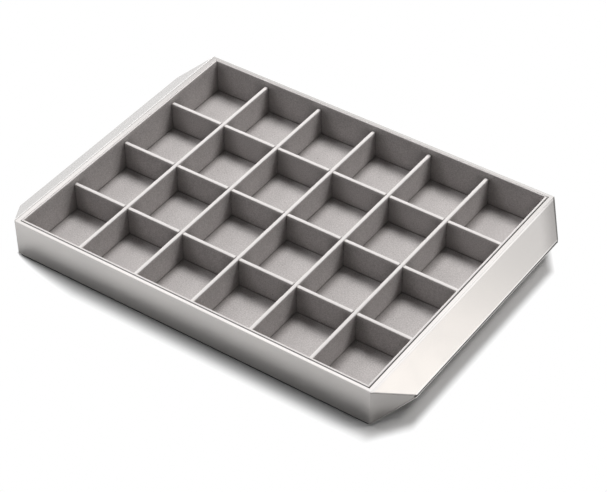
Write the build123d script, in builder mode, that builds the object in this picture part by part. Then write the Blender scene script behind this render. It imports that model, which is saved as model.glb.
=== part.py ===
from build123d import *
import math
import os

# Jewelry display tray: a folded steel shell with a slanted handle wing at each end, and a
# suede-covered liner that lifts out, holding a half-lapped grid of dividers.
# Millimetres. X runs along the tray, Y from front (-) to back (+), Z up.
# The origin is the middle of the footprint, on the surface that the tray stands on.

# Compartments
columns = 6
rows = 4
compartment_length = 47.0
compartment_width = 55.8
compartment_depth = 28.1

# Suede and the boards under it
suede = 0.4
wall_card = 0.8
floor_card = 0.8
divider_card = 2.2
divider_height = 23.8
divider_edge_radius = 0.8
wall_edge_radius = 0.5

# Clearances of the parts that lift out, and how far the liner stands above the rim
liner_gap = 0.4
liner_rise = 0.5
divider_end_gap = 0.2
slot_side_gap = 0.15
slot_depth_gap = 0.3

# Steel shell: the rim's folds are grooved on the inside, so they are sharper than the bends
sheet = 0.8
bend_inside = 0.1
rim_fold = 0.5
side_rim = 2.7
end_rim = 3.2
foot_flange = 4.0
weld_gap = 0.1
cheek_seam = 0.3

# Handle wings, measured from the shell's end and from its underside: the slope starts level,
# and a seam parts the lip between the upper skin and the underside
wing_reach = 19.3
wing_inset = 26.6
wing_edge_height = 17.1
wing_shoulder = 0.9
upper_lip = 1.3
lip_seam = 0.5
lower_lip = 1.2
lip_edge_radius = 0.45

# Pad that the tray stands on
pad_thickness = 1.6
pad_inset = 0.5
pad_corner = 2.5

# Sizes that follow from the ones above
divider_thickness = divider_card + 2 * suede
wall_thickness = wall_card + 2 * suede
bend_outside = bend_inside + sheet
liner_inner_length = columns * compartment_length + (columns - 1) * divider_thickness
liner_inner_width = rows * compartment_width + (rows - 1) * divider_thickness
shell_end = liner_inner_length / 2 + wall_thickness + liner_gap + end_rim
shell_side = liner_inner_width / 2 + wall_thickness + liner_gap + side_rim
wing_end = shell_end + wing_reach
wing_side = shell_side - wing_inset
shell_bottom = pad_thickness
base_top = shell_bottom + sheet
card_top = base_top + floor_card
floor_top = card_top + suede
rim_top = floor_top + compartment_depth
lip_top = shell_bottom + wing_edge_height
seam_top = lip_top - upper_lip
seam_bottom = seam_top - lip_seam
lip_bottom = seam_bottom - lower_lip
liner_top = rim_top + liner_rise
divider_top = floor_top + divider_height

# The arc that takes the level shoulder into the slope
slope_start = shell_end + wing_shoulder
slope_angle = math.atan2(rim_top - lip_top, wing_end - slope_start)
shoulder_radius = wing_shoulder / math.tan(slope_angle / 2)

# The cheek's bend starts this far inside the shell's corner
cheek_angle = math.atan2(wing_inset, wing_reach)
bend_start = shell_end - bend_outside * math.tan(cheek_angle / 2)

# The shell seen from above, and its right half seen from the front
plan_points = [
    (shell_end, shell_side),
    (wing_end, wing_side),
    (wing_end, -wing_side),
    (shell_end, -shell_side),
    (-shell_end, -shell_side),
    (-wing_end, -wing_side),
    (-wing_end, wing_side),
    (-shell_end, shell_side),
]
end_points = [
    (0, shell_bottom),
    (shell_end, shell_bottom),
    (wing_end, lip_bottom),
    (wing_end, lip_top),
    (slope_start, rim_top),
    (0, rim_top),
]


def end_profile(inset, bend):
    """The shell's right half seen from the front, inset, with its shoulder and other bends rounded."""
    with BuildSketch(Plane.XZ) as profile:
        with BuildLine():
            Polyline(*end_points, close=True)
        make_face()
        if inset > 0:
            offset(amount=-inset, kind=Kind.INTERSECTION)
        fillet(profile.vertices().sort_by_distance((slope_start, rim_top))[0], radius=shoulder_radius - inset)
        if bend > 0:
            corners = profile.vertices().filter_by_position(Axis.X, shell_end - sheet, wing_end + sheet)
            fillet(corners.filter_by_position(Axis.Y, 0, lip_top), radius=bend)
    return profile.sketch


def shell_outside():
    """The closed outer form of the shell's right half, with every bend rounded."""
    with BuildPart() as body:
        add(end_profile(0, bend_outside))
        extrude(amount=shell_side, dir=(0, 1, 0), both=True)
        with BuildSketch() as plan:
            with BuildLine():
                Polyline(*plan_points, close=True)
            make_face()
            fillet(plan.vertices(), radius=bend_outside)
        extrude(amount=2 * rim_top, mode=Mode.INTERSECT)
    return body.part


def profile_cavity(inset, bend):
    """What the folded wing goes round: its profile, smaller by a distance."""
    with BuildPart() as body:
        add(end_profile(inset, bend))
        extrude(amount=shell_side, dir=(0, 1, 0), both=True)
    return body.part


def plan_cavity():
    """What the front, the back and the cheeks go round: the plan, one sheet smaller."""
    with BuildPart() as body:
        with BuildSketch() as plan:
            with BuildLine():
                Polyline(*plan_points, close=True)
            make_face()
            offset(amount=-sheet, kind=Kind.INTERSECTION)
            fillet(plan.vertices(), radius=bend_inside)
        extrude(amount=rim_top)
    return body.part


outside = shell_outside()
cheek_cavity = plan_cavity()


# Front panel: an upright wall with its top edge folded in as the rim, mitred at both ends
with BuildPart() as front_panel:
    with BuildSketch(Plane.YZ) as panel_section:
        with BuildLine():
            Polyline(
                (-shell_side, shell_bottom),
                (-shell_side, rim_top),
                (-shell_side + side_rim, rim_top),
                (-shell_side + side_rim, rim_top - sheet),
                (-shell_side + sheet, rim_top - sheet),
                (-shell_side + sheet, shell_bottom),
                close=True,
            )
        make_face()
        fillet(panel_section.vertices().group_by(Axis.Y)[-1].sort_by(Axis.X)[0], radius=rim_fold)
        inner_corner = panel_section.vertices().sort_by_distance((-shell_side + sheet, rim_top - sheet))[0]
        fillet(inner_corner, radius=bend_inside)
    extrude(amount=shell_end, both=True)
    with BuildSketch(Plane.XY.offset(rim_top - sheet)):
        with BuildLine():
            Polyline(
                (shell_end, -shell_side),
                (shell_end - end_rim, -shell_side + side_rim),
                (shell_end, -shell_side + side_rim),
                close=True,
            )
        make_face()
        mirror(about=Plane.YZ)
    extrude(amount=sheet, mode=Mode.SUBTRACT)
    panel_end = (bend_start + shell_end) / 2
    with BuildSketch(Plane.XY.offset(rim_top - sheet)):
        with Locations((panel_end, -shell_side), (-panel_end, -shell_side)):
            Rectangle(shell_end - bend_start, 2 * side_rim)
    extrude(amount=-rim_top, mode=Mode.SUBTRACT)

with BuildPart() as back_panel:
    mirror(front_panel.part, about=Plane.XZ)


# Wing: an upper skin, folded from the rim's level down the slope to the lip, and an underside
# that comes up to meet it, parted by the seam
with BuildPart() as wing_strip:
    add(outside)
    add(profile_cavity(sheet, bend_inside), mode=Mode.SUBTRACT)
    with BuildSketch(Plane.XZ):
        with BuildLine():
            Polyline(
                (0, 0),
                (shell_end - foot_flange, 0),
                (shell_end - foot_flange, seam_top),
                (shell_end + weld_gap, seam_top),
                (shell_end + weld_gap, rim_top),
                (0, rim_top),
                close=True,
            )
        make_face()
    extrude(amount=shell_side, both=True, mode=Mode.SUBTRACT)

with BuildPart() as right_wing:
    add(wing_strip.part)
    with BuildSketch(Plane.XY.offset(seam_top)):
        Rectangle(2 * wing_end, 2 * shell_side)
    extrude(amount=rim_top - seam_top, mode=Mode.INTERSECT)

with BuildPart() as right_wing_underside:
    add(wing_strip.part)
    with BuildSketch():
        Rectangle(2 * wing_end, 2 * shell_side)
    extrude(amount=seam_bottom, mode=Mode.INTERSECT)
    with BuildSketch(Plane.XY.offset(shell_bottom)):
        with Locations((bend_start - foot_flange, shell_side), (bend_start - foot_flange, -shell_side)):
            Rectangle(2 * foot_flange, 2 * sheet)
    extrude(amount=sheet, mode=Mode.SUBTRACT)
    lip_edge = right_wing_underside.edges().filter_by(Axis.Y).group_by(Axis.Z)[-1].sort_by(Axis.X)[-1]
    fillet(lip_edge, radius=lip_edge_radius)

with BuildPart() as left_wing:
    mirror(right_wing.part, about=Plane.YZ)

with BuildPart() as left_wing_underside:
    mirror(right_wing_underside.part, about=Plane.YZ)


# Cheek: the plate that closes a wing's side, with the shell's corner bent into it and a fine
# seam between it and the folded wing
with BuildPart() as front_right_cheek:
    add(outside)
    add(cheek_cavity, mode=Mode.SUBTRACT)
    add(profile_cavity(sheet + cheek_seam, 0), mode=Mode.INTERSECT)
    with BuildSketch():
        with Locations(((bend_start + wing_end) / 2, -shell_side / 2)):
            Rectangle(wing_end - bend_start, shell_side)
    extrude(amount=rim_top, mode=Mode.INTERSECT)

with BuildPart() as back_right_cheek:
    mirror(front_right_cheek.part, about=Plane.XZ)

with BuildPart() as front_left_cheek:
    mirror(front_right_cheek.part, about=Plane.YZ)

with BuildPart() as back_left_cheek:
    mirror(back_right_cheek.part, about=Plane.YZ)


# Base plate: flat sheet welded in between the panels and the wings' foot flanges
with BuildPart() as base_plate:
    with BuildSketch(Plane.XY.offset(shell_bottom)):
        Rectangle(2 * (shell_end - foot_flange), 2 * (shell_side - sheet))
    extrude(amount=sheet)

# Inner end wall: closes the hollow wing, and its top edge is folded out as the end's rim
with BuildPart() as right_inner_wall:
    with BuildSketch(Plane.XY.offset(base_top)):
        with Locations((shell_end - end_rim + sheet / 2, 0)):
            Rectangle(sheet, 2 * (shell_side - sheet - weld_gap))
    extrude(amount=rim_top - sheet - base_top)
    with BuildSketch(Plane.XY.offset(rim_top - sheet)):
        with BuildLine():
            Polyline(
                (shell_end, -shell_side),
                (shell_end, shell_side),
                (shell_end - end_rim, shell_side - side_rim),
                (shell_end - end_rim, -shell_side + side_rim),
                close=True,
            )
        make_face()
    extrude(amount=sheet)
    rim_edge = right_inner_wall.edges().filter_by(Axis.Y).group_by(Axis.Z)[-1].sort_by(Axis.X)[0]
    fillet(rim_edge, radius=rim_fold)

with BuildPart() as left_inner_wall:
    mirror(right_inner_wall.part, about=Plane.YZ)

# Base pad: dark foam sheet under the steel, a little smaller than it
with BuildPart() as base_pad:
    with BuildSketch():
        RectangleRounded(2 * (shell_end - pad_inset), 2 * (shell_side - pad_inset), pad_corner)
    extrude(amount=pad_thickness)


# Liner: a card box covered in suede, mitred at its corners
with BuildPart() as liner_floor_card:
    with BuildSketch(Plane.XY.offset(base_top)):
        Rectangle(liner_inner_length + 2 * wall_thickness, liner_inner_width + 2 * wall_thickness)
    extrude(amount=floor_card)

with BuildPart() as floor_suede:
    with BuildSketch(Plane.XY.offset(card_top)):
        Rectangle(liner_inner_length, liner_inner_width)
    extrude(amount=suede)


def wall_layer(half_length, half_depth, near, far, top):
    """A mitred strip of the liner's wall, between two distances outside its inner face."""
    with BuildPart() as layer:
        with BuildSketch(Plane.XY.offset(card_top)):
            with BuildLine():
                Polyline(
                    (-half_length - near, -half_depth - near),
                    (half_length + near, -half_depth - near),
                    (half_length + far, -half_depth - far),
                    (-half_length - far, -half_depth - far),
                    close=True,
                )
            make_face()
        extrude(amount=top - card_top)
    return layer.part


def liner_wall(half_length, half_depth, turn):
    """The card and the suede folded over it, for the wall that stands on the turned side."""
    card = wall_layer(half_length, half_depth, suede, suede + wall_card, liner_top - suede)
    with BuildPart() as cover:
        add(wall_layer(half_length, half_depth, 0, wall_thickness, liner_top))
        fold = cover.edges().filter_by(Axis.X).group_by(Axis.Z)[-1]
        fillet(fold, radius=wall_edge_radius)
        add(card, mode=Mode.SUBTRACT)
    spin = Rotation(0, 0, turn)
    return spin * card, spin * cover.part


front_and_back = (liner_inner_length / 2, liner_inner_width / 2)
ends = (liner_inner_width / 2, liner_inner_length / 2)
liner_sides = {
    "front": liner_wall(*front_and_back, 0),
    "right": liner_wall(*ends, 90),
    "back": liner_wall(*front_and_back, 180),
    "left": liner_wall(*ends, -90),
}


# Dividers: suede-covered boards that halve into each other where they cross
def divider_parts(length, crossings, slot_base, slot_height):
    """A board along X with its suede, slotted at the given places between two heights."""
    with BuildPart() as slots:
        with BuildSketch(Plane.XZ):
            with Locations(*[(x, slot_base + slot_height / 2) for x in crossings]):
                Rectangle(divider_thickness + 2 * slot_side_gap, slot_height)
        extrude(amount=divider_thickness, both=True)
    with BuildPart() as board:
        with BuildSketch(Plane.XZ):
            with Locations((0, floor_top + (divider_height - suede) / 2)):
                Rectangle(length, divider_height - suede)
        extrude(amount=divider_card / 2, both=True)
    with BuildPart() as cover:
        with BuildSketch(Plane.YZ) as section:
            with Locations((0, floor_top + divider_height / 2)):
                Rectangle(divider_thickness, divider_height)
            fillet(section.vertices().group_by(Axis.Y)[-1], radius=divider_edge_radius)
        extrude(amount=length / 2, both=True)
        add(board.part, mode=Mode.SUBTRACT)
        add(slots.part, mode=Mode.SUBTRACT)
    with BuildPart() as core:
        add(board.part)
        add(slots.part, mode=Mode.SUBTRACT)
    return core.part, cover.part


column_pitch = compartment_length + divider_thickness
row_pitch = compartment_width + divider_thickness
column_lines = [(k - columns / 2) * column_pitch for k in range(1, columns)]
row_lines = [(rows / 2 - k) * row_pitch for k in range(1, rows)]
lap_height = divider_height / 2

# The long dividers are slotted from the top, the cross dividers from below
long_core, long_cover = divider_parts(
    liner_inner_length - 2 * divider_end_gap,
    column_lines,
    divider_top - lap_height - slot_depth_gap / 2,
    lap_height + slot_depth_gap,
)
cross_core, cross_cover = divider_parts(
    liner_inner_width - 2 * divider_end_gap,
    row_lines,
    floor_top - slot_depth_gap / 2,
    lap_height + slot_depth_gap,
)

pieces = {
    "front_panel": front_panel.part,
    "back_panel": back_panel.part,
    "left_wing": left_wing.part,
    "right_wing": right_wing.part,
    "left_wing_underside": left_wing_underside.part,
    "right_wing_underside": right_wing_underside.part,
    "front_left_cheek": front_left_cheek.part,
    "front_right_cheek": front_right_cheek.part,
    "back_left_cheek": back_left_cheek.part,
    "back_right_cheek": back_right_cheek.part,
    "base_plate": base_plate.part,
    "left_inner_wall": left_inner_wall.part,
    "right_inner_wall": right_inner_wall.part,
    "base_pad": base_pad.part,
    "liner_floor_card": liner_floor_card.part,
    "liner_floor_suede": floor_suede.part,
}
for side, (card, cover) in liner_sides.items():
    pieces[f"liner_{side}_card"] = card
    pieces[f"liner_{side}_suede"] = cover
for number, y in enumerate(row_lines, start=1):
    pieces[f"long_divider_{number}_board"] = Pos(0, y, 0) * long_core
    pieces[f"long_divider_{number}_suede"] = Pos(0, y, 0) * long_cover
for number, x in enumerate(column_lines, start=1):
    pieces[f"cross_divider_{number}_board"] = Pos(x, 0, 0) * Rotation(0, 0, 90) * cross_core
    pieces[f"cross_divider_{number}_suede"] = Pos(x, 0, 0) * Rotation(0, 0, 90) * cross_cover

os.makedirs("parts", exist_ok=True)
for name, part in pieces.items():
    part.label = name
    export_step(part, f"parts/{name}.step")
print(f"{len(pieces)} pieces, {2 * wing_end:.1f} x {2 * shell_side:.1f} x {liner_top:.1f} mm")
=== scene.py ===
import logging
import math
from dataclasses import dataclass
from enum import Enum

import bpy
import numpy as np
from mathutils import Matrix, Vector


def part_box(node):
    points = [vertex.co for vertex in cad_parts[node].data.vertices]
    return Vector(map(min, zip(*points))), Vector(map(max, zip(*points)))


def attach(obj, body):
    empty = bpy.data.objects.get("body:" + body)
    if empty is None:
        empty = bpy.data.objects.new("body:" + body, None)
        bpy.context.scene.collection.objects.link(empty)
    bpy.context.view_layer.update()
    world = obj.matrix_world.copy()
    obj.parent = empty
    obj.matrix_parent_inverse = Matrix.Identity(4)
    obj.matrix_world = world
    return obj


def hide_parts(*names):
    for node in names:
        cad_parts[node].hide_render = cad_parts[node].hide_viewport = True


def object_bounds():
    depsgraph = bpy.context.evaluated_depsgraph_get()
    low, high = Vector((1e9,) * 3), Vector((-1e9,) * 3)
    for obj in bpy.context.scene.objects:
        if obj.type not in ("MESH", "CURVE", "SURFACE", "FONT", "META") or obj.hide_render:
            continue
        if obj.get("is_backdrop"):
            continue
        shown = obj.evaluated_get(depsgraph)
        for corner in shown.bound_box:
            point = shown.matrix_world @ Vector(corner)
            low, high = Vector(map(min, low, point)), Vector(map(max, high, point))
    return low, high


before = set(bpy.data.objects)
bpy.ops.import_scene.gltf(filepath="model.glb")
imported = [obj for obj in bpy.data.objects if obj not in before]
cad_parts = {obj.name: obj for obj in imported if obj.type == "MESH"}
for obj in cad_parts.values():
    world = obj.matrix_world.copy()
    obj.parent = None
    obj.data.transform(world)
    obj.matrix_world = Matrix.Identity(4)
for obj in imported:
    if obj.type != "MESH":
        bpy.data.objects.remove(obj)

# Jewelry display tray: a satin steel shell with a slanted wing at each end, and a suede-covered
# liner with a half-lapped grid of suede-covered dividers. Metres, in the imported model's frame:
# X along the tray, Y from front (-) to back (+), Z up from the floor.

log = logging.getLogger("tray")
MM = 0.001
Colour = tuple[float, float, float]
Triple = tuple[float, float, float]
Span = tuple[float, float]
Array = np.ndarray
Material = bpy.types.Material
Socket = bpy.types.NodeSocket
Value = Socket | float | Colour | Vector
RIGHT, BACK, UP = Vector((1, 0, 0)), Vector((0, 1, 0)), Vector((0, 0, 1))

# Where a Mix node has its two colours and its mixed one, among sockets of the same names.
MIX_FIRST, MIX_SECOND, MIXED = 6, 7, 2


class Axis(Enum):
    """The direction in which a long piece runs."""

    X = 0
    Y = 1


class SlotSide(Enum):
    """The edge from which a divider is slotted to halve into those that cross it."""

    TOP = "top"
    BELOW = "below"


class WallSide(Enum):
    """A side of the liner, with the quarter turns that take the front one there."""

    FRONT = 0
    RIGHT = 1
    BACK = 2
    LEFT = 3


class Ray(Enum):
    """A ray that no lit surface has scattered: it shows a place, and doesn't light others."""

    CAMERA = "straight from the camera"
    MIRROR = "off metal or through glass"


# Node trees


class Tree:
    """A node tree, with short ways to add the kinds of node that are used here.

    Each input takes either an output, which is linked to it, or a constant.
    """

    def __init__(self, tree: bpy.types.NodeTree) -> None:
        """Empties a tree, so that it can be filled anew."""
        self.nodes, self.links = tree.nodes, tree.links
        self.nodes.clear()

    def put(self, socket: Socket, value: Value) -> None:
        """Gives an input its value.

        Args:
            socket: The input.
            value: The output that is linked to it, or its constant.
        """
        if isinstance(value, Socket):
            self.links.new(value, socket)
        else:
            socket.default_value = (*value, 1.0) if socket.type == "RGBA" else value

    def add(
        self, kind: str, inputs: dict[str | int, Value] | None = None, **settings: str
    ) -> bpy.types.Node:
        """Adds a node.

        Args:
            kind: Its type, without the ShaderNode in front.
            inputs: The values of its inputs, by name or number.
            **settings: The node's own settings.

        Returns:
            The node.
        """
        node = self.nodes.new(f"ShaderNode{kind}")
        for key, setting in settings.items():
            setattr(node, key, setting)
        for key, value in (inputs or {}).items():
            self.put(node.inputs[key], value)
        return node

    def place(self, scale: Triple = (1, 1, 1)) -> Socket:
        """Object coordinates, times a scale along each axis that makes the pattern finer."""
        coords = self.add("TexCoord").outputs["Object"]
        return self.add("Mapping", {"Vector": coords, "Scale": scale}).outputs["Vector"]

    def attribute(self, name: str) -> Socket:
        """The value of a mesh attribute, as a number."""
        return self.add("Attribute", attribute_name=name).outputs["Fac"]

    def noise(
        self, where: Socket, scale: float, detail: float = 2.0, rough: float = 0.5
    ) -> Socket:
        """Fractal noise between about 0 and 1, whose scale is in grains to the metre."""
        inputs = {"Vector": where, "Scale": scale, "Detail": detail, "Roughness": rough}
        return self.add("TexNoise", inputs).outputs["Fac"]

    def range(
        self, value: Socket, start: float, end: float, low: float, high: float, smooth: bool = True
    ) -> Socket:
        """Takes a value from one range to another, held at the ends.

        Args:
            value: The value.
            start: Where the first range starts.
            end: Where it ends.
            low: What start becomes.
            high: What end becomes.
            smooth: Whether it eases in and out.

        Returns:
            The new value.
        """
        names = ("Value", "From Min", "From Max", "To Min", "To Max")
        inputs = dict(zip(names, (value, start, end, low, high)))
        kind = "SMOOTHSTEP" if smooth else "LINEAR"
        return self.add("MapRange", inputs, interpolation_type=kind).outputs["Result"]

    def spread(self, noise: Socket, low: float, high: float) -> Socket:
        """Takes the middle of a noise, from 0.3 to 0.7, to a range from low to high."""
        return self.range(noise, 0.3, 0.7, low, high)

    def join(self, kind: str, first: Socket, second: Value = 0.0, third: float = 0.0) -> Socket:
        """Values joined by a Math node's operation; the third is a smooth operation's reach."""
        return self.add("Math", {0: first, 1: second, 2: third}, operation=kind).outputs[0]

    def along(self, where: Socket, direction: Vector) -> Socket:
        """How far a place is along a direction: the dot product of the two."""
        dot = self.add("VectorMath", {0: where, 1: direction}, operation="DOT_PRODUCT")
        return dot.outputs["Value"]

    def past(self, where: Socket, direction: Vector, start: float, pace: float = 1.0) -> Socket:
        """How much further along a direction a place is than a line at start, times a pace."""
        further = self.join("SUBTRACT", self.along(where, direction), start)
        return self.join("MULTIPLY", further, pace)

    def blend(self, share: Socket, first: Value, second: Value) -> Socket:
        """A colour between two, with that share of the second one."""
        inputs = {0: share, MIX_FIRST: first, MIX_SECOND: second}
        return self.add("Mix", inputs, data_type="RGBA").outputs[MIXED]

    def bump(self, height: Socket, depth: float, strength: float) -> Socket:
        """The normal of a surface raised by a height of 0 to 1, where 1 is a depth in metres."""
        inputs = {"Height": height, "Distance": depth, "Strength": strength}
        return self.add("Bump", inputs).outputs["Normal"]

    def halves(self) -> tuple[Socket, Socket]:
        """A place, and the same one mirrored to the right half of the tray.

        Returns:
            The two places.
        """
        place = self.place()
        x = self.join("ABSOLUTE", self.along(place, RIGHT))
        mirrored = self.add("CombineXYZ", {"X": x, "Y": self.along(place, BACK)})
        return place, mirrored.outputs["Vector"]

    def seen_by(self, ray: Ray) -> Socket:
        """1 for a ray of that kind, and 0 for a ray that lights things.

        Args:
            ray: The kind.

        Returns:
            The value.
        """
        path = self.add("LightPath").outputs
        if ray is Ray.CAMERA:
            return path["Is Camera Ray"]
        mirrored = self.join("MAXIMUM", path["Is Glossy Ray"], path["Is Transmission Ray"])
        unlit = self.join("LESS_THAN", path["Diffuse Depth"], 0.5)
        return self.join("MULTIPLY", mirrored, unlit)


class Finish(Tree):
    """A material's node tree, with a Principled shader."""

    def __init__(self, name: str) -> None:
        """Starts a material.

        Args:
            name: The material's name.
        """
        self.material = bpy.data.materials.new(name)
        self.material.use_nodes = True
        super().__init__(self.material.node_tree)
        self.shader = self.add("BsdfPrincipled")
        self.output = self.add("OutputMaterial", {"Surface": self.shader.outputs[0]})

    def set(self, **values: Value) -> None:
        """Gives the shader's sockets their values, by names with underscores for spaces."""
        for key, value in values.items():
            self.put(self.shader.inputs[key.replace("_", " ")], value)


@dataclass(frozen=True)
class Steel:
    """Satin-polished sheet steel, with a very fine grain along the sheet and faint cloudy marks.

    A wing has a painted shadow line along the lip, where its two sheets meet, and a painted
    highlight on the lip's lower edge. Along the rolled edge of a wing's back end there is a
    painted dark reflection in a line, and a fainter one over the sheet beside it.
    """

    name: str
    grain: Axis
    seam: float | None = None
    lip: float = 0.0
    edge: tuple[Vector, float] | None = None
    # Painted shade: how far the whole finish is taken towards the dark tone.
    shade: float = 0.0
    tone: Colour = (0.568, 0.548, 0.535)
    cloud_tone: Colour = (0.551, 0.533, 0.522)
    dark_tone: Colour = (0.050, 0.047, 0.045)
    lip_highlight_tone: Colour = (0.900, 0.880, 0.862)
    roughness: Span = (0.23, 0.26)
    grain_size: float = 2600.0
    grain_stretch: float = 0.012
    grain_depth: float = 0.004
    cloud_size: float = 26.0
    clouds: Span = (0.35, 0.75)
    seam_shadow_core: float = 0.78 * MM
    seam_shadow_reach: float = 1.02 * MM
    lip_highlight_core: float = 0.3 * MM
    lip_highlight_reach: float = 0.5 * MM
    painted_line_core: float = 0.75 * MM
    painted_line_reach: float = 1.3 * MM
    painted_line_depth: float = 0.8
    painted_fade_reach: float = 15.0 * MM
    fade: float = 0.37

    def shaded(self, tone: Colour) -> Colour:
        """A tone taken towards the dark one by the finish's painted shade."""
        pairs = zip(tone, self.dark_tone)
        return tuple((1 - self.shade) * part + self.shade * dark for part, dark in pairs)

    def material(self) -> Material:
        """Builds the finish.

        Returns:
            The material.
        """
        finish = Finish(self.name)
        place = finish.place()
        runs_x = self.grain is Axis.X
        stretch = (self.grain_stretch, 1.0, 1.0) if runs_x else (1.0, self.grain_stretch, 1.0)
        lines = finish.noise(finish.place(stretch), self.grain_size)
        clouds = finish.noise(place, self.cloud_size, 3.0, 0.55)
        cloudy = finish.range(clouds, *self.clouds, 0.0, 1.0)
        colour = finish.blend(cloudy, self.shaded(self.tone), self.shaded(self.cloud_tone))
        # Painted shadow along the seam between a wing's sheets, and a painted highlight on the
        # lip's lower edge.
        if self.seam is not None:
            out = finish.join("ABSOLUTE", finish.along(place, RIGHT))
            apart = finish.join("ABSOLUTE", finish.past(place, UP, self.seam))
            start, end = self.lip - self.lip_highlight_reach, self.lip - self.lip_highlight_core
            painted_highlight = finish.range(out, start, end, 0.0, 1.0)
            shadow = finish.range(apart, self.seam_shadow_core, self.seam_shadow_reach, 1.0, 0.0)
            colour = finish.blend(painted_highlight, colour, self.lip_highlight_tone)
            colour = finish.blend(shadow, colour, self.dark_tone)
        # Painted dark reflection in a line along a wing's rolled back edge, fading over the sheet
        # beside it.
        if self.edge is not None:
            inside = finish.past(place, *self.edge)
            near = finish.range(inside, -self.painted_fade_reach, 0.0, 0.0, self.fade)
            line = finish.range(inside, -self.painted_line_reach, -self.painted_line_core, 0.0, self.painted_line_depth)
            colour = finish.blend(finish.join("MAXIMUM", near, line), colour, self.dark_tone)
        fine = finish.spread(lines, -self.grain_depth, self.grain_depth)
        rough = finish.join("ADD", fine, finish.spread(clouds, *self.roughness))
        finish.set(Base_Color=colour, Roughness=rough, Metallic=1.0)
        return finish.material


@dataclass(frozen=True)
class Suede:
    """Warm grey suede: a fine nap with flecks, lighter where it is folded over an edge.

    An attribute that is 1 on a folded edge gives a painted highlight there, and another gives the
    painted shade where two covers meet and in the upright corners.
    """

    name: str = "grey_suede"
    tone: Colour = (0.626, 0.598, 0.592)
    dark_tone: Colour = (0.352, 0.331, 0.327)
    fleck_tone: Colour = (0.240, 0.222, 0.212)
    fold_highlight_tone: Colour = (0.735, 0.709, 0.697)
    crease_shade_tone: Colour = (0.100, 0.090, 0.084)
    nap_size: float = 1100.0
    nap_depth: float = 0.08 * MM
    hair_size: float = 2860.0
    hair_stretch: Triple = (1.0, 0.45, 1.0)
    hair_share: float = 0.3
    stroke_size: float = 60.0
    stroke_share: float = 0.08
    fleck_size: float = 825.0
    fleck_stretch: Triple = (1.0, 1.0, 1.4)
    flecks: Span = (0.70, 0.78)
    roughness: Span = (0.86, 0.98)
    sheen: float = 0.25
    sheen_tint: Colour = (0.98, 0.97, 0.96)

    def material(self) -> Material:
        """Builds the finish.

        Returns:
            The material.
        """
        finish = Finish(self.name)
        place = finish.place()
        nap = finish.noise(place, self.nap_size, 3.0, 0.65)
        hairs = finish.noise(finish.place(self.hair_stretch), self.hair_size, 2.0, 0.6)
        strokes = finish.spread(finish.noise(place, self.stroke_size), 0.0, self.stroke_share)
        flecks = finish.noise(finish.place(self.fleck_stretch), self.fleck_size, 1.0)
        long_fibre = finish.spread(hairs, 0.0, self.hair_share)
        fibre = finish.join("ADD", finish.spread(nap, 0.0, 1 - self.hair_share), long_fibre)
        weak_fibre = finish.join("MULTIPLY", fibre, 1 - self.stroke_share)
        colour = finish.blend(finish.join("ADD", strokes, weak_fibre), self.dark_tone, self.tone)
        flecks = finish.range(flecks, *self.flecks, 0.0, 1.0)
        colour = finish.blend(flecks, colour, self.fleck_tone)
        # Painted highlight where the cover is folded over an edge.
        colour = finish.blend(finish.attribute("fold_highlight"), colour, self.fold_highlight_tone)
        # Painted shade where covers meet and in the upright corners.
        colour = finish.blend(finish.attribute("crease_shade"), colour, self.crease_shade_tone)
        finish.set(
            Base_Color=colour,
            Roughness=finish.spread(nap, *self.roughness),
            Normal=finish.bump(fibre, self.nap_depth, 0.7),
            Sheen_Weight=self.sheen,
            Sheen_Roughness=0.45,
            Sheen_Tint=self.sheen_tint,
            Specular_IOR_Level=0.15,
        )
        return finish.material


@dataclass(frozen=True)
class Card:
    """Grey board, with short fibres and the faint speckle of pulp."""

    tone: Colour = (0.42, 0.405, 0.385)
    fleck_tone: Colour = (0.29, 0.275, 0.255)
    fibre_size: float = 1300.0
    fibre_stretch: Triple = (0.35, 1.0, 1.0)
    fibre_depth: float = 0.03 * MM
    fibres: Span = (0.5, 0.75)
    pulp_size: float = 180.0
    roughness: Span = (0.78, 0.92)

    def material(self) -> Material:
        """Builds the finish.

        Returns:
            The material.
        """
        finish = Finish("grey_board")
        fibres = finish.noise(finish.place(self.fibre_stretch), self.fibre_size, 4.0, 0.7)
        pulp = finish.noise(finish.place(), self.pulp_size, 3.0, 0.6)
        flecks = finish.range(fibres, *self.fibres, 0.0, 1.0)
        flecks = finish.join("MULTIPLY", flecks, finish.spread(pulp, 0.4, 1.0))
        finish.set(
            Base_Color=finish.blend(flecks, self.tone, self.fleck_tone),
            Roughness=finish.spread(fibres, *self.roughness),
            Normal=finish.bump(fibres, self.fibre_depth, 0.6),
            Specular_IOR_Level=0.3,
        )
        return finish.material


@dataclass(frozen=True)
class Foam:
    """Dark closed-cell foam, with fine open pores on its skin."""

    tone: Colour = (0.020, 0.019, 0.018)
    pore_tone: Colour = (0.008, 0.0075, 0.007)
    pore_size: float = 1500.0
    pore_depth: float = 0.12 * MM
    pores: Span = (0.5, 0.62)
    skin_size: float = 90.0
    roughness: Span = (0.68, 0.86)

    def material(self) -> Material:
        """Builds the finish.

        Returns:
            The material.
        """
        finish = Finish("dark_foam")
        pores = finish.noise(finish.place(), self.pore_size)
        skin = finish.noise(finish.place(), self.skin_size)
        pits = finish.range(pores, *self.pores, 0.0, 1.0)
        finish.set(
            Base_Color=finish.blend(pits, self.tone, self.pore_tone),
            Roughness=finish.spread(skin, *self.roughness),
            Normal=finish.bump(pores, self.pore_depth, 0.8),
            Specular_IOR_Level=0.15,
        )
        return finish.material


@dataclass(frozen=True)
class Looks:
    """The finishes that the boards and the soft pieces share."""

    suede: Material
    card: Material
    foam: Material


# Surfaces

ROUNDING_POINTS = 6
SHORTEST_RUN = 2.2  # in radii: a shorter one between two breaks has its roundings squeezed
WAVE_COUNT = 4
WAVE_LENGTHS = (0.018, 0.075)


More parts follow.
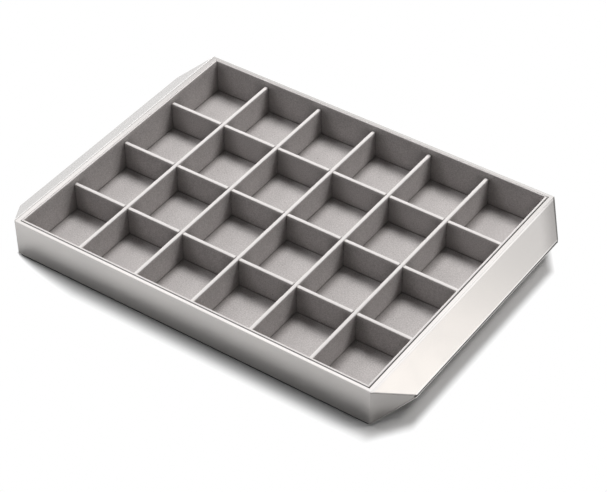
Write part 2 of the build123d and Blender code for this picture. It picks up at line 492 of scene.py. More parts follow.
def spaced(start: float, stop: float, step: float) -> Array:
    """Even places from start to stop, no further apart than step."""
    return np.linspace(start, stop, max(2, math.ceil(abs(stop - start) / step) + 1))


def quarter(radius: float, count: int) -> Array:
    """Places that follow a quarter circle: radius * (1 - cos a), for even a up to a right angle."""
    return radius * (1 - np.cos(np.linspace(0, math.pi / 2, count)))


def nearest(places: Array, lines: list[float]) -> Array:
    """How far each place is from the nearest of some lines."""
    return np.min(np.abs(places[..., None] - np.array(lines)), axis=-1)


def both_sides(lines: list[float], half: float) -> list[float]:
    """The places half a width before and after each line, in order."""
    return sorted(line + side * half for line in lines for side in (-1, 1))


def rounded_stations(breaks: list[float], step: float, radius: float) -> Array:
    """Places along a piece, close together beside each break where its edge is rounded.

    The places beside a break follow a quarter circle, which is squeezed where the next break is
    too near.

    Args:
        breaks: The piece's ends and the edges of its cut-outs, in order.
        step: The most that two places are apart on the plain stretches.
        radius: How far from a break the rounding reaches.

    Returns:
        The places in order.
    """
    near = quarter(radius, ROUNDING_POINTS)
    runs = []
    for start, stop in zip(breaks[:-1], breaks[1:]):
        reach = near * min(1.0, (stop - start) / (SHORTEST_RUN * radius))
        runs += [start + reach, spaced(start + reach[-1], stop - reach[-1], step), stop - reach]
    return np.unique(np.round(np.concatenate(runs), 8))


def rolled_edge(distance: Array, radius: float) -> Array:
    """How far a rolled edge has sunk: radius - sqrt(radius^2 - (radius - distance)^2), or 0."""
    left = radius - np.clip(distance, 0, radius)
    return radius - np.sqrt(np.maximum(radius**2 - left**2, 0))


def crease_shade(distance: Array, reach: float) -> Array:
    """How much painted shade a cover has beside a line where two meet: (1 - distance / reach)
    squared, or 0.
    """
    return np.clip(1 - np.abs(distance) / reach, 0, 1) ** 2


def folded(z: Array, high: float, reach: float) -> Array:
    """How folded a cover is within reach of its top: the share of the reach, to the power 1.5."""
    return np.clip((z - (high - reach)) / reach, 0, 1) ** 1.5


def flat_cut(place: Array, u: Array, z: Array) -> Array:
    """Where a cover's points were in the flat cloth: along it, and by the section's girth."""
    girth = np.concatenate([[0], np.cumsum(np.hypot(np.diff(u), np.diff(z)))])
    return np.stack(np.broadcast_arrays(place[:, None], girth[None]), axis=2)


@dataclass(frozen=True)
class CornerShade:
    """The soft painted shade in the compartments' upright corners, and on the floor beside the
    dividers.
    """

    top_reach: float = 11.0 * MM
    foot_reach: float = 22.0 * MM
    depth: float = 0.50
    fade: float = 2.0 * MM
    floor_reach: float = 6.0 * MM
    floor_depth: float = 0.45

    def on_wall(self, distance: Array, z: Array, low: float, high: float) -> Array:
        """How much painted shade a wall's cover has: depth * (1 - (distance / reach)^2)^2.

        The reach grows from the top of the corner to its foot, and the shade fades at the top.

        Args:
            distance: How far each row of the cover is from its nearest upright corner.
            z: The height of each column.
            low: The corner's foot.
            high: The corner's top, above which there is no shade.

        Returns:
            The darkness of each point, from 0 to 1.
        """
        sunk = np.clip((high - z) / (high - low), 0, 1)
        reach = self.top_reach + (self.foot_reach - self.top_reach) * sunk
        shade = (1 - np.clip(distance[:, None] / reach[None], 0, 1) ** 2) ** 2
        return self.depth * shade * np.clip((high - z) / self.fade, 0, 1)[None]

    def on_floor(self, distance: Array) -> Array:
        """How much painted shade the floor's cover has at a distance from a cross divider or an end
        wall.
        """
        return self.floor_depth * crease_shade(distance, self.floor_reach)


def crown(half_width: float, height: float, power: float, count: int) -> tuple[Array, Array]:
    """The top of a folded cover in section: half of a superellipse from -half_width to half_width.

    Across is -half_width * |cos a|^(2 / power) with the sign of cos a, and the drop is
    height * (1 - |sin a|^(2 / power)), for even angles a from 0 to a half turn.

    Args:
        half_width: Half of its width.
        height: How far its sides start below its top.
        power: 2 is an ellipse, and more is squarer.
        count: The number of points.

    Returns:
        The places across, and how far each is under the top.
    """
    angle = np.linspace(0, math.pi, count)
    cosine, sine = np.cos(angle), np.sin(angle)
    across = -half_width * np.sign(cosine) * np.abs(cosine) ** (2 / power)
    drop = height * (1 - np.abs(sine) ** (2 / power))
    return across, drop


def turned(points: Array, quarters: int) -> Array:
    """Points turned about Z by quarter turns, where (x, y) becomes (-y, x) each time.

    Args:
        points: The points, with X, Y and Z on the last axis.
        quarters: The number of quarter turns.

    Returns:
        The turned points.
    """
    x, y, z = points[..., 0], points[..., 1], points[..., 2]
    for _ in range(quarters % 4):
        x, y = -y, x
    return np.stack([x, y, z], axis=-1)


def make_piece(name: str, points: Array, faces: list[list[int]]) -> bpy.types.Object:
    """A smooth-shaded mesh object at the origin, with its place in its mesh.

    Args:
        name: The object's name.
        points: Its vertices.
        faces: Its faces, as lists of vertex numbers.

    Returns:
        The object, linked to the scene.
    """
    mesh = bpy.data.meshes.new(name)
    mesh.from_pydata(points.tolist(), [], faces)
    mesh.polygons.foreach_set("use_smooth", np.ones(len(faces), bool))
    mesh.update()
    piece = bpy.data.objects.new(name, mesh)
    bpy.context.scene.collection.objects.link(piece)
    return piece


@dataclass
class Cloth:
    """A cloth worked out on a grid: its outer and inner sides, joined round every edge.

    Both sides are the same grid of points, rows along the piece and columns across the cut. Where
    keep is false there is a cut-out, whose edges are closed as the outer ones are.
    """

    name: str
    outer: Array
    inner: Array
    keep: Array
    flat: Array
    fold_highlight: Array
    painted_shade: Array
    inner_shift: float = 0.4 * MM

    def faces(self) -> Array:
        """The four-sided faces of both sides and of every edge, as vertex numbers.

        The outer side's face is (i, j), (i+1, j), (i+1, j+1), (i, j+1), and the inner one's runs
        the other way round. A face closes an edge where a kept cell meets one that isn't kept.

        Returns:
            One row of four numbers for each face.
        """
        rows, columns = self.outer.shape[:2]
        number = np.arange(rows * columns).reshape(rows, columns)
        inside = rows * columns
        a, b = number[:-1, :-1], number[1:, :-1]
        c, d = number[1:, 1:], number[:-1, 1:]
        kept = [side[self.keep] for side in (a, b, c, d)]
        found = [np.stack(kept, axis=1), np.stack(kept[::-1], axis=1) + inside]
        cells = np.pad(self.keep, 1)
        for first, second, before, after in (
            (number[:-1, :], number[1:, :], cells[1:-1, :-1], cells[1:-1, 1:]),
            (number[:, 1:], number[:, :-1], cells[:-1, 1:-1], cells[1:, 1:-1]),
        ):
            opens, closes = after & ~before, before & ~after
            for start, end, edge in ((second, first, opens), (first, second, closes)):
                p, q = start[edge], end[edge]
                found.append(np.stack([p, q, q + inside, p + inside], axis=1))
        return np.concatenate(found)

    def build(self) -> bpy.types.Object:
        """Makes the mesh, with a UV map of the flat cut and the attributes of the painted highlight
        and the painted shade.

        Returns:
            The object.
        """
        faces = self.faces()
        used, where = np.unique(faces, return_inverse=True)
        faces = where.reshape(faces.shape)
        points = np.concatenate([self.outer.reshape(-1, 3), self.inner.reshape(-1, 3)])[used]
        flat = self.flat.reshape(-1, 2)
        flat = np.concatenate([flat, flat + self.inner_shift])[used]
        piece = make_piece(self.name, points, faces.tolist())
        uv = piece.data.uv_layers.new(name="flat_cut")
        uv.data.foreach_set("uv", flat[faces.reshape(-1)].astype(np.float32).reshape(-1))
        for name, values in (("fold_highlight", self.fold_highlight), ("crease_shade", self.painted_shade)):
            layer = piece.data.attributes.new(name, "FLOAT", "POINT")
            spread = np.broadcast_to(values, self.outer.shape[:2]).reshape(-1)
            layer.data.foreach_set("value", np.tile(spread, 2)[used].astype(np.float32))
        return piece


def wander(places: Array, seed: int, size: float) -> Array:
    """A slow wave along a piece: the mean of a few sines of random lengths and phases.

    Args:
        places: The places along the piece, in metres.
        seed: Which lengths and phases it has.
        size: The most that it departs from 0.

    Returns:
        The wave at each place.
    """
    chance = np.random.default_rng(seed)
    lengths = chance.uniform(*WAVE_LENGTHS, WAVE_COUNT)
    phases = chance.uniform(0, 2 * math.pi, WAVE_COUNT)
    waves = np.sin(2 * math.pi * places[..., None] / lengths + phases)
    return size * waves.mean(axis=-1)


# The object's sub-assemblies


def dress(node: str, material: Material) -> None:
    """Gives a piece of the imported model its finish."""
    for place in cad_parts[node].material_slots:
        place.material = material


def stand_in(piece: bpy.types.Object, node: str, body: str, look: Material) -> None:
    """Puts a new piece in a packed one's place, on its body.

    Args:
        piece: The new piece.
        node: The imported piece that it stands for.
        body: The body that it rides on.
        look: Its finish.
    """
    piece.data.materials.append(look)
    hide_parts(node)
    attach(piece, body)
    log.info("%s stands for %s on %s, %d faces", piece.name, node, body, len(piece.data.polygons))


def slanted_end() -> tuple[Vector, float]:
    """The slanted line between a back corner and its wing's tip, seen from above.

    Returns:
        The outward direction of the right one, and how far along it the line is.
    """
    low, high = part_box("back_right_cheek")
    along = Vector((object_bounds()[1].x - low.x, high.y - low.y, 0)).normalized()
    outward = Vector((along.y, along.x, 0))
    return outward, outward.dot(Vector((low.x, high.y, 0)))


@dataclass
class Shell:
    """The folded steel shell: panels, wings, cheeks, base plate and inner end walls."""

    panels: tuple[str, ...] = ("front_panel", "back_panel", "base_plate")
    inner_walls: tuple[str, ...] = ("left_inner_wall", "right_inner_wall")
    front_cheeks: tuple[str, ...] = ("front_left_cheek", "front_right_cheek")
    back_cheeks: tuple[str, ...] = ("back_left_cheek", "back_right_cheek")
    left_wing: tuple[str, ...] = ("left_wing", "left_wing_underside")
    right_wing: tuple[str, ...] = ("right_wing", "right_wing_underside")
    shadow_rise: float = 0.05 * MM
    # Painted shade: how far the cheeks' finish is taken towards the dark tone.
    cheek_painted_shade: float = 0.20

    def build(self) -> None:
        """Dresses every sheet of the shell, with the grain along its folds."""
        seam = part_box("right_wing")[0].z + self.shadow_rise
        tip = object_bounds()[1].x
        cheeks = self.front_cheeks + self.back_cheeks
        for name, nodes, axis, line, edge, shade in (
            ("panel_steel", self.panels, Axis.X, None, None, 0.0),
            ("wall_steel", self.inner_walls, Axis.Y, None, None, 0.0),
            ("cheek_steel", cheeks, Axis.Y, None, None, self.cheek_painted_shade),
            ("left_wing_steel", self.left_wing, Axis.Y, seam, None, 0.0),
            ("right_wing_steel", self.right_wing, Axis.Y, seam, slanted_end(), 0.0),
        ):
            steel = Steel(name, axis, line, tip, edge, shade).material()
            for node in nodes:
                dress(node, steel)
                log.info("%s is %s with its grain along %s", node, name, axis.name)


@dataclass
class BasePad:
    """The foam pad under the shell: a slab with rounded corners and softly rounded edges."""

    looks: Looks
    corner: float = 2.5 * MM
    edge: float = 0.4 * MM
    around: int = 96
    sway: float = 0.08 * MM
    bends: int = 13
    lids: tuple[float, ...] = (0.35, 0.7, 0.93)
    seed: int = 5
    swell_length: float = 1.1

    def build(self) -> None:
        """Makes the pad from rings: out along its underside, round its edge and back over its top.

        The outline is the centres of its corners' circles, one radius inside both sides, plus
        radius * (cos a, sin a) for even angles a. A ring of the edge is sunk from the outline by
        edge * (1 - cos b) and from the middle of the edge by edge * sin b, for even angles b from
        the underside to the top.
        """
        low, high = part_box("base_pad")
        angle = np.linspace(0, 2 * math.pi, self.around, endpoint=False) + math.pi / self.around
        out = np.stack([np.cos(angle), np.sin(angle)], axis=1)
        line = np.sign(out) * (np.array(high.xy) - self.corner) + self.corner * out
        bend = np.linspace(-math.pi / 2, math.pi / 2, self.bends)
        sink = self.edge * (1 - np.cos(bend))
        middle = np.where(bend < 0, low.z + self.edge, high.z - self.edge)
        heights = middle + self.edge * np.sin(bend)
        rings = line[None] - sink[:, None, None] * out[None]
        way = np.linspace(0, self.swell_length, self.around, endpoint=False)
        swell = np.abs(wander(way, self.seed, self.sway))
        rings -= (np.cos(bend)[:, None, None] * swell[None, :, None]) * out[None]
        lids = np.array(self.lids)[:, None, None]
        under, over = rings[0][None] * lids, rings[-1][None] * lids[::-1]
        flat = np.concatenate([under, rings, over])
        z = np.concatenate([np.full(len(lids), low.z), heights, np.full(len(lids), high.z)])
        z = np.broadcast_to(z[:, None, None], (*flat.shape[:2], 1))
        grid = np.concatenate([flat, z], axis=2)
        count = len(grid)
        number = np.arange(count * self.around).reshape(count, self.around)
        after = np.roll(number, -1, axis=1)
        sides = np.stack([number[:-1], after[:-1], after[1:], number[1:]], axis=2).reshape(-1, 4)
        bottom, top = count * self.around, count * self.around + 1
        fans = [[bottom, q, p] for p, q in zip(number[0].tolist(), after[0].tolist())]
        fans += [[top, p, q] for p, q in zip(number[-1].tolist(), after[-1].tolist())]
        points = np.concatenate([grid.reshape(-1, 3), [[0, 0, low.z], [0, 0, high.z]]])
        piece = make_piece("foam_base", points, [*sides.tolist(), *fans])
        stand_in(piece, "base_pad", "tray_shell", self.looks.foam)


@dataclass(kw_only=True)
class Cover:
    """How suede is folded over a board: its section, its rolled edges and the painted shade beside
    them.
    """

    looks: Looks
    cloth: float = 0.4 * MM
    crown_height: float = 0.8 * MM
    crown_power: float = 2.9
    crown_points: int = 21
    roll: float = 0.34 * MM
    roll_points: int = 5
    foot_steps: tuple[float, ...] = (0.5, 1.0)
    step: float = 4.0 * MM
    rise_step: float = 3.0 * MM
    fold_reach: float = 1.35 * MM
    crease_reach: float = 1.1 * MM
    crease_shade_depth: float = 0.8
    sway: float = 0.10 * MM
    shade: CornerShade = CornerShade()

    def section(
        self, half: float, low: float, floor: float, high: float, cuts: list[float]
    ) -> tuple[Array, ...]:
        """A cover in section, from one foot over the crown to the other.

        Args:
            half: Half of the covered board's thickness.
            low: The height of its feet.
            floor: The height of the floor beside it.
            high: The height of its top.
            cuts: Heights at which its sides need a point.

        Returns:
            The outer side's places across and heights, and the inner side's.
        """
        across, drop = crown(half, self.crown_height, self.crown_power, self.crown_points)
        foot = floor + self.crease_reach * np.array(self.foot_steps)
        stops = [foot[-1], *cuts, high - self.crown_height]
        runs = [spaced(*ends, self.rise_step)[1:] for ends in zip(stops[:-1], stops[1:])]
        side = np.concatenate([low + quarter(self.roll, self.roll_points), foot, *runs])[:-1]
        z = np.concatenate([side, high - drop, side[::-1]])
        u = np.concatenate([np.full(len(side), -half), across, np.full(len(side), half)])
        u_in = np.sign(u) * np.minimum(np.abs(u), half - self.cloth)
        return u, z, u_in, np.minimum(z, high - self.cloth)


@dataclass
class Liner(Cover):
    """The card box that lifts out, with a suede floor and four suede walls folded over their tops.

    How strong the painted highlight on each wall's fold is, in the order of WallSide.
    """

    crown_height: float = 0.55 * MM
    crown_power: float = 3.0
    crown_points: int = 15
    corner_roll: float = 0.32 * MM
    foot_steps: tuple[float, ...] = (0.0, 0.2, 0.5, 1.0)
    floor_step: float = 3.0 * MM
    fold_reach: float = 1.3 * MM
    divider_half: float = 1.5 * MM
    fold_highlight_by_wall: tuple[float, ...] = (0.95, 1.0, 0.26, 0.68)
    seed: int = 11
    sway: float = 0.06 * MM
    wave_depth: float = 0.03 * MM
    wave_margin: float = 1.0 * MM
    wave_across: float = 13.0 * MM
    wave_up: float = 17.0 * MM
    wave_start: float = 0.6
    wave_bend: float = 1.3
    wave_bend_up: float = 21.0 * MM
    press_depth: float = 0.05 * MM
    press_reach: float = 4.0 * MM

    def wall_cover(self, side: WallSide, lines: list[float], top: float) -> None:
        """Makes the suede of one wall, mitred at both ends.

        A point is (s * (half_length + u), -(half_depth + u), z), where s runs from -1 to 1 along
        the wall, u is the distance behind the wall's inner face, and both sink near the mitres.

        Args:
            side: Which wall it is.
            lines: Where the dividers meet it, along the wall.
            top: The dividers' height.
        """
        node = f"liner_{side.name.lower()}_suede"
        low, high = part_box(node)
        floor_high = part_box("liner_floor_suede")[1]
        run, wide = (0, 1) if side in (WallSide.FRONT, WallSide.BACK) else (1, 0)
        half_length, half_depth = floor_high[run], floor_high[wide]
        thick = high[wide] - low[wide]
        half = thick / 2
        across, z, across_in, z_in = self.section(half, low.z, low.z + self.cloth, high.z, [])
        way = np.sign(across) * np.clip(np.abs(across) / half, 0, 1) ** 2
        down = np.sqrt(np.maximum(1 - way**2, 0)) * (z > high.z - self.crown_height)
        u = half - across + way * rolled_edge(z - low.z, self.roll)
        inside = u < half
        faces = both_sides(lines, self.divider_half)
        place = rounded_stations([-half_length, *faces, half_length], self.step, self.crease_reach)
        to_end, beside = half_length - np.abs(place), nearest(place, faces)
        sink = rolled_edge(to_end, self.corner_roll)[:, None]
        wave = wander(place, self.seed + side.value, self.sway)[:, None]
        u = u[None] + way[None] * (sink + np.abs(wave * (1 - sink / self.corner_roll)))
        z = z[None] - down[None] * sink
        s = (place / half_length)[:, None]
        outer = np.stack([s * (half_length + u), -(half_depth + u), z], axis=2)
        u_in, z_in = np.broadcast_to(half - across_in, u.shape), np.broadcast_to(z_in, u.shape)
        inner = np.stack([s * (half_length + u_in), -(half_depth + u_in), z_in], axis=2)
        middle = z[len(z) // 2]
        # Painted shade along the floor, the mitres and the dividers, and in the upright corners, on
        # the inner side only.
        painted_shade = np.maximum.reduce(
            [
                crease_shade(np.maximum(z - floor_high.z, 0), self.crease_reach),
                crease_shade(to_end, self.crease_reach)[:, None] * (z < high.z - self.crown_height),
                crease_shade(beside, self.crease_reach)[:, None] * (z < top),
            ]
        )
        shade = self.shade.on_wall(np.minimum(beside, to_end), middle, floor_high.z, top)
        # The cover carries a painted highlight where it is folded over its top, stronger on some
        # walls than others.
        piece = Cloth(
            f"{side.name.lower()}_wall_suede",
            turned(outer, side.value),
            turned(inner, side.value),
            np.ones((outer.shape[0] - 1, outer.shape[1] - 1), bool),
            flat_cut(place, u[0], middle),
            self.fold_highlight_by_wall[side.value] * folded(z, high.z, self.fold_reach),
            np.maximum(self.crease_shade_depth * painted_shade, shade) * inside,
        ).build()
        stand_in(piece, node, "liner", self.looks.suede)

    def floor_cover(self, lines_x: list[float], lines_y: list[float]) -> None:
        """Makes the suede of the floor: laid flat, rolled down at the walls, pressed by dividers.

        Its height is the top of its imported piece, less the roll at the walls, less a slow wave
        0.5 + 0.5 sin(x / across + bend sin(y / bend_up)) sin(y / up + start), and less a dip
        exp(-(d / reach)^2) at a distance d from a divider's line.

        Args:
            lines_x: Where the cross dividers stand.
            lines_y: Where the long dividers stand.
        """
        low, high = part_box("liner_floor_suede")
        faces_x = both_sides(lines_x, self.divider_half)
        faces_y = both_sides(lines_y, self.divider_half)
        x = rounded_stations([low.x, *faces_x, high.x], self.floor_step, self.crease_reach)
        y = rounded_stations([low.y, *faces_y, high.y], self.floor_step, self.crease_reach)
        gx, gy = np.meshgrid(x, y, indexing="ij")
        to_x, to_y = high.x - np.abs(gx), high.y - np.abs(gy)
        edge, upright = np.minimum(to_x, to_y), np.minimum(to_x, nearest(gx, faces_x))
        beside = np.minimum(edge, np.minimum(nearest(gx, faces_x), nearest(gy, faces_y)))
        # Painted shade along the walls and the dividers, and wider beside the cross dividers and
        # the end walls.
        painted_shade = self.crease_shade_depth * crease_shade(beside, self.crease_reach)
        press = np.minimum(nearest(gx, lines_x), nearest(gy, lines_y))
        bend = self.wave_bend * np.sin(gy / self.wave_bend_up)
        waves = np.sin(gx / self.wave_across + bend) * np.sin(gy / self.wave_up + self.wave_start)
        dip = self.press_depth * np.exp(-((press / self.press_reach) ** 2))
        depth = (self.wave_depth * (0.5 + 0.5 * waves) + dip) * (edge > self.wave_margin)
        z = high.z - rolled_edge(edge, self.roll) - depth
        piece = Cloth(
            "floor_suede",
            np.stack([gx, gy, z], axis=2),
            np.stack([gx, gy, np.full_like(gx, low.z)], axis=2),
            np.ones((len(x) - 1, len(y) - 1), bool),
            np.stack([gx, gy], axis=2),
            np.zeros_like(gx),
            np.maximum(painted_shade, self.shade.on_floor(upright)),
        ).build()
        stand_in(piece, "liner_floor_suede", "liner", self.looks.suede)

    def build(self, columns: list[float], rows: list[float]) -> None:
        """Makes the liner's covers and dresses its boards.

        Args:
            columns: Where the cross dividers stand along X.
            rows: Where the long dividers stand along Y.
        """
        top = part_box("cross_divider_1_suede")[1].z
        for side in WallSide:
            lines = columns if side in (WallSide.FRONT, WallSide.BACK) else rows
            self.wall_cover(side, lines, top)
            dress(f"liner_{side.name.lower()}_card", self.looks.card)
        dress("liner_floor_card", self.looks.card)
        self.floor_cover(columns, rows)


@dataclass
class Divider(Cover):
    """A suede cover folded over its board, cut out at the slots where it crosses the others."""

    name: str
    body: str
    axis: Axis
    slots: list[float]
    slot_side: SlotSide
    seed: int
    slot_width: float = 3.3 * MM
    slot_clear: float = 0.15 * MM
    most_give: float = 0.36 * MM

    def build(self) -> None:
        """Makes the cover and dresses the board.

        A point is (s, u, z) along X, or turned a quarter along Y. Within the roll's radius of an
        end or a slot the surface sinks towards the board, by up to the roll's radius.
        """
        node = f"{self.name}_suede"
        low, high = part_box(node)
        run, wide = (0, 1) if self.axis is Axis.X else (1, 0)
        half_length, half = (high[run] - low[run]) / 2, (high[wide] - low[wide]) / 2
        offset = (high[wide] + low[wide]) / 2
        lap = (high.z - low.z) / 2
        top = self.slot_side is SlotSide.TOP
        cut = high.z - lap - self.slot_clear if top else low.z + lap + self.slot_clear
        u, z, u_in, z_in = self.section(half, low.z, low.z, high.z, [cut])
        u = u - np.sign(u) * rolled_edge(z - low.z, self.roll)
        edges = both_sides(self.slots, self.slot_width / 2)
        place = rounded_stations([-half_length, *edges, half_length], self.step, self.crease_reach)
        in_slot = nearest((place[1:] + place[:-1]) / 2, self.slots) < self.slot_width / 2
        mid_z = (z[1:] + z[:-1]) / 2
        open_part = mid_z > cut if top else mid_z < cut
        to_end, to_slot = half_length - np.abs(place), nearest(place, edges)
        at_slot = (z > cut - self.roll) if top else (z < cut + self.roll)
        crown_foot = high.z - self.crown_height
        sink = np.maximum(
            rolled_edge(to_end, self.roll)[:, None],
            rolled_edge(to_slot, self.roll)[:, None] * at_slot[None],
        )
        wave = np.abs(wander(place, self.seed, self.sway))[:, None]
        give = np.minimum(sink + wave * (1 - sink / self.roll), self.most_give)
        way = np.clip(np.abs(u) / half, 0, 1)[None] ** 2
        across = u[None] - np.sign(u)[None] * way * give
        down = np.sqrt(np.maximum(1 - way**2, 0)) * (z > crown_foot)[None]
        s = np.broadcast_to(place[:, None], across.shape)
        u_in, z_in = np.broadcast_to(u_in, s.shape), np.broadcast_to(z_in, s.shape)
        shift = np.array([0, offset, 0] if self.axis is Axis.X else [offset, 0, 0])
        # Painted shade at the foot, the ends and the slots, and in the upright corners.
        painted_shade = np.maximum.reduce(
            [
                np.broadcast_to(crease_shade(z - low.z, self.crease_reach), s.shape),
                np.broadcast_to(crease_shade(to_end, self.crease_reach)[:, None], s.shape),
                crease_shade(to_slot, self.crease_reach)[:, None] * (top | (z < crown_foot)),
            ]
        )
        shade = self.shade.on_wall(np.minimum(to_end, to_slot), z, low.z, crown_foot)
        # The cover carries a painted highlight where it is folded over its top.
        piece = Cloth(
            f"{self.name}_cover",
            turned(np.stack([s, across, z[None] - down * give], axis=2), self.axis.value) + shift,
            turned(np.stack([s, u_in, z_in], axis=2), self.axis.value) + shift,
            ~(in_slot[:, None] & open_part[None]),
            flat_cut(place, u, z),
            folded(z, high.z, self.fold_reach),
            np.maximum(self.crease_shade_depth * painted_shade, shade),
        ).build()
        stand_in(piece, node, self.body, self.looks.suede)
        dress(f"{self.name}_board", self.looks.card)


@dataclass
class DividerGrid:
    """Three long dividers, slotted from the top, and five cross dividers, slotted from below."""

    looks: Looks
    long_count: int = 3
    cross_count: int = 5
    long_seed: int = 20
    cross_seed: int = 30

    def lines(self, name: str, count: int, axis: int) -> list[float]:
        """Where the dividers of a name stand along an axis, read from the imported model."""
        boxes = [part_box(f"{name}_{k}_suede") for k in range(1, count + 1)]
        return [(low[axis] + high[axis]) / 2 for low, high in boxes]

    def columns(self) -> list[float]:
        """Where the cross dividers stand along X."""
        return self.lines("cross_divider", self.cross_count, 0)

    def rows(self) -> list[float]:
        """Where the long dividers stand along Y."""
        return self.lines("long_divider", self.long_count, 1)

    def build(self) -> None:
        """Makes every divider's cover and dresses every board."""
        columns, rows, looks = self.columns(), self.rows(), self.looks
        for k in range(1, self.long_count + 1):
            place = (f"long_divider_{k}", "long_dividers", Axis.X, columns, SlotSide.TOP)
            Divider(*place, self.long_seed + k, looks=looks).build()
        for k in range(1, self.cross_count + 1):
            place = (f"cross_divider_{k}", f"cross_divider_{k}", Axis.Y, rows, SlotSide.BELOW)
            Divider(*place, self.cross_seed + k, looks=looks).build()


# Studio


@dataclass(frozen=True)
class Softbox:
    """A rectangular area lamp that points at the tray."""

    name: str
    place: Triple
    size: Span
    power: float
    tone: Colour = (1.0, 1.0, 1.0)
    mirrored: bool = False

    def build(self) -> None:
        """Makes the lamp: a mirrored one only shows in the steel, where the others don't."""
        lamp = bpy.data.lights.new(self.name, "AREA")
        lamp.shape = "RECTANGLE"
        lamp.size, lamp.size_y = self.size
        lamp.energy = self.power
        lamp.color = self.tone
        holder = bpy.data.objects.new(self.name, lamp)
        holder.location = self.place
        holder.rotation_mode = "QUATERNION"
        holder.rotation_quaternion = (-Vector(self.place)).to_track_quat("-Z", "Y")
        holder.visible_camera = False
        holder.visible_glossy = self.mirrored
        holder.visible_diffuse = not self.mirrored
        bpy.context.scene.collection.objects.link(holder)


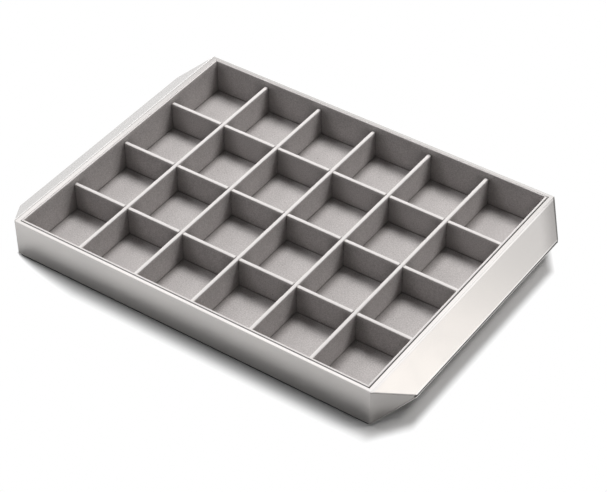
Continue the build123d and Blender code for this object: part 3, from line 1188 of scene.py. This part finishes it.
@dataclass
class Studio:
    """The pale floor, the soft lamps, the white surroundings and the camera."""

    floor_half: float = 4.0
    floor_tone: Colour = (0.72, 0.72, 0.72)
    white_to: float = 0.0146
    white_power: float = 1.6
    mirrored_from: float = 0.009
    mirrored_to: float = 0.0455
    side_pace: float = 2.0
    left_pace: float = 6.0
    slant_start: float = 0.0042
    slant_pace: float = 1.4
    back_slant_start: float = -0.0095
    back_slant_pace: float = 2.0
    outline_radius: float = 0.0045
    opening_start: float = -0.1540
    opening: float = 0.060
    opening_power: float = 0.6
    opening_least: float = 0.0004
    painted_glow: float = 0.065
    painted_glow_reach: float = 0.012
    shadow_lean: float = 0.007
    shadow_lean_from: float = 0.100
    lean: float = 0.048
    lean_from: float = 0.085
    mirrored_side_start: float = -0.028
    mirrored_side_front: float = -0.090
    mirrored_side_pace: float = 4.0
    mirrored_slant_start: float = 0.013
    surroundings: float = 0.055
    lens: float = 122.569
    clip: Span = (0.05, 50.0)
    camera_place: Triple = (0.6715082, -0.9215011, 0.9982352)
    looks_along: Triple = (-0.43555107, 0.61171186, -0.66038161)
    upwards: Triple = (-0.37054336, 0.54674772, 0.75084256)
    lamps: tuple[Softbox, ...] = (
        Softbox("key_softbox", (-0.34, 0.64, 1.80), (0.60, 0.60), 23.8),
        Softbox("right_softbox", (0.72, 0.72, 1.50), (0.6, 0.6), 12.0, (1.0, 0.978, 0.955)),
        Softbox("left_softbox", (-1.20, 0.0, 1.50), (0.5, 0.5), 6.1),
        Softbox("left_panel", (-2.20, 0.0, 1.00), (1.4, 1.4), 20.0),
        Softbox("front_softbox", (0.80, -2.10, 1.00), (1.4, 1.4), 2.1),
        Softbox("right_reflector", (0.70, 0.36, 0.58), (0.44, 0.50), 0.60, (1.0, 0.95, 0.88), True),
        Softbox("top_reflector", (-0.12, 0.44, 0.68), (1.16, 0.53), 1.54, mirrored=True),
        Softbox("left_reflector", (-1.00, 0.80, 0.16), (0.90, 0.32), 1.50, (0.96, 0.98, 1.0), True),
    )

    def build_world(self) -> None:
        """Surroundings that light the tray at a plain level and are seen as white."""
        world = bpy.data.worlds.new("studio")
        bpy.context.scene.world = world
        world.use_nodes = True
        tree = Tree(world.node_tree)
        shown = tree.join("ADD", tree.seen_by(Ray.CAMERA), tree.seen_by(Ray.MIRROR))
        level = tree.range(shown, 0.0, 1.0, self.surroundings, 1.0, smooth=False)
        backdrop = tree.add("Background", {"Color": (1.0, 1.0, 1.0), "Strength": level})
        tree.add("OutputWorld", {"Surface": backdrop.outputs[0]})

    def away(self, floor: Finish, sides: list[Socket]) -> Socket:
        """How far a place is from the tray: the smooth maximum of how far it is past each side.

        Args:
            floor: The floor's finish.
            sides: How far it is past the sides.

        Returns:
            The distance.
        """
        away = sides[0]
        for side in sides[1:]:
            away = floor.join("SMOOTH_MAX", away, side, self.outline_radius)
        return away

    def camera_white(self, floor: Finish) -> Socket:
        """How white the floor is to the camera: plain white but for the tray's shadow.

        In front the shadow opens from nothing at the left corner to its full depth. Close to the
        wing's tip and its front cheek a little painted light is added to the floor, in place of the
        light off the steel.

        Args:
            floor: The floor's finish.

        Returns:
            The share of white.
        """
        place, across = floor.halves()
        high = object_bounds()[1]
        slant, end = slanted_end()
        front_slant = Vector((slant.x, -slant.y, 0))
        ends = (self.opening_start, self.opening_start + self.opening)
        x = floor.along(place, RIGHT)
        opening = floor.range(x, *ends, self.opening_least, 1.0, smooth=False)
        start = high.y + self.shadow_lean * self.shadow_lean_from
        front = floor.past(place, Vector((-self.shadow_lean, -1, 0)), start)
        sides = [
            floor.join("DIVIDE", front, floor.join("POWER", opening, self.opening_power)),
            floor.past(across, RIGHT, high.x, self.side_pace),
            floor.past(across, front_slant, end + self.slant_start, self.slant_pace),
            floor.past(across, slant, end + self.back_slant_start, self.back_slant_pace),
            floor.past(across, BACK, high.y),
            floor.past(place, -RIGHT, -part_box("front_panel")[0].x, self.left_pace),
        ]
        share = floor.range(self.away(floor, sides), 0.0, self.white_to, 0.0, 1.0, smooth=False)
        share = floor.join("POWER", share, self.white_power)
        # Painted light on the floor beside the wing's tip and its front cheek.
        tip, cheek = floor.past(across, RIGHT, high.x), floor.past(across, front_slant, end)
        beside = floor.join("MAXIMUM", tip, cheek)
        painted_glow = floor.range(beside, -self.painted_glow_reach, 0.0, 0.0, self.painted_glow)
        return floor.join("MINIMUM", floor.join("ADD", share, painted_glow), 1.0)

    def mirrored_white(self, floor: Finish) -> Socket:
        """How white the floor is in the steel, where the shadow in front leans to the right.

        Args:
            floor: The floor's finish.

        Returns:
            The share of white.
        """
        place, across = floor.halves()
        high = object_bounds()[1]
        slant, end = slanted_end()
        end += self.mirrored_slant_start
        front = high.y + self.lean * self.lean_from
        sides = [
            floor.past(place, Vector((-self.lean, -1, 0)), front),
            floor.past(across, BACK, high.y),
            floor.past(across, Vector((slant.x, -slant.y, 0)), end),
            floor.past(across, slant, end),
        ]
        beside = floor.past(across, RIGHT, high.x + self.mirrored_side_start)
        behind = floor.past(place, BACK, self.mirrored_side_front, self.mirrored_side_pace)
        beside = floor.join("MINIMUM", beside, behind)
        away = floor.join("MAXIMUM", self.away(floor, sides), beside)
        return floor.range(away, self.mirrored_from, self.mirrored_to, 0.0, 1.0, smooth=False)

    def build_floor(self) -> None:
        """A plain pale floor: it keeps the tray's shadow and turns to plain white away from it.

        How far a place is past the tray is the greatest of how far it is past the front or back,
        past the wings' tips, past the slanted lines between them and past the left end.
        """
        floor = Finish("pale_floor")
        floor.set(Base_Color=self.floor_tone, Roughness=0.9, Specular_IOR_Level=0.0)
        seen = floor.join("MULTIPLY", self.camera_white(floor), floor.seen_by(Ray.CAMERA))
        mirrored = floor.join("MULTIPLY", self.mirrored_white(floor), floor.seen_by(Ray.MIRROR))
        share = floor.join("ADD", seen, mirrored)
        white = floor.add("Emission", {"Strength": 1.0}).outputs[0]
        mix = floor.add("MixShader", {0: share, 1: floor.shader.outputs[0], 2: white})
        floor.put(floor.output.inputs["Surface"], mix.outputs[0])
        half = self.floor_half
        corners = np.array([[-half, -half, 0], [half, -half, 0], [half, half, 0], [-half, half, 0]])
        piece = make_piece("floor", corners, [[0, 1, 2, 3]])
        piece.data.materials.append(floor.material)
        piece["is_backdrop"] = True

    def build_camera(self) -> None:
        """The camera at the photograph's viewing angle."""
        view = bpy.data.cameras.new("camera")
        view.lens = self.lens
        view.clip_start, view.clip_end = self.clip
        camera = bpy.data.objects.new("camera", view)
        ahead, up = Vector(self.looks_along).normalized(), Vector(self.upwards).normalized()
        right = ahead.cross(up).normalized()
        up = right.cross(ahead)
        turn = Matrix((right, up, -ahead)).transposed()
        camera.matrix_world = Matrix.Translation(self.camera_place) @ turn.to_4x4()
        bpy.context.scene.collection.objects.link(camera)
        bpy.context.scene.camera = camera

    def build(self) -> None:
        """Makes the whole studio."""
        bpy.context.scene.view_settings.view_transform = "Standard"
        self.build_world()
        self.build_floor()
        self.build_camera()
        for lamp in self.lamps:
            lamp.build()
        log.info("studio with %d lamps", len(self.lamps))


def main() -> None:
    """Builds the tray's looks in order."""
    logging.basicConfig(level=logging.INFO, format="%(name)s: %(message)s")
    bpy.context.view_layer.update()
    looks = Looks(Suede().material(), Card().material(), Foam().material())
    grid = DividerGrid(looks)
    Shell().build()
    BasePad(looks).build()
    Liner(looks=looks).build(grid.columns(), grid.rows())
    grid.build()
    Studio().build()


if __name__ == "__main__":
    main()
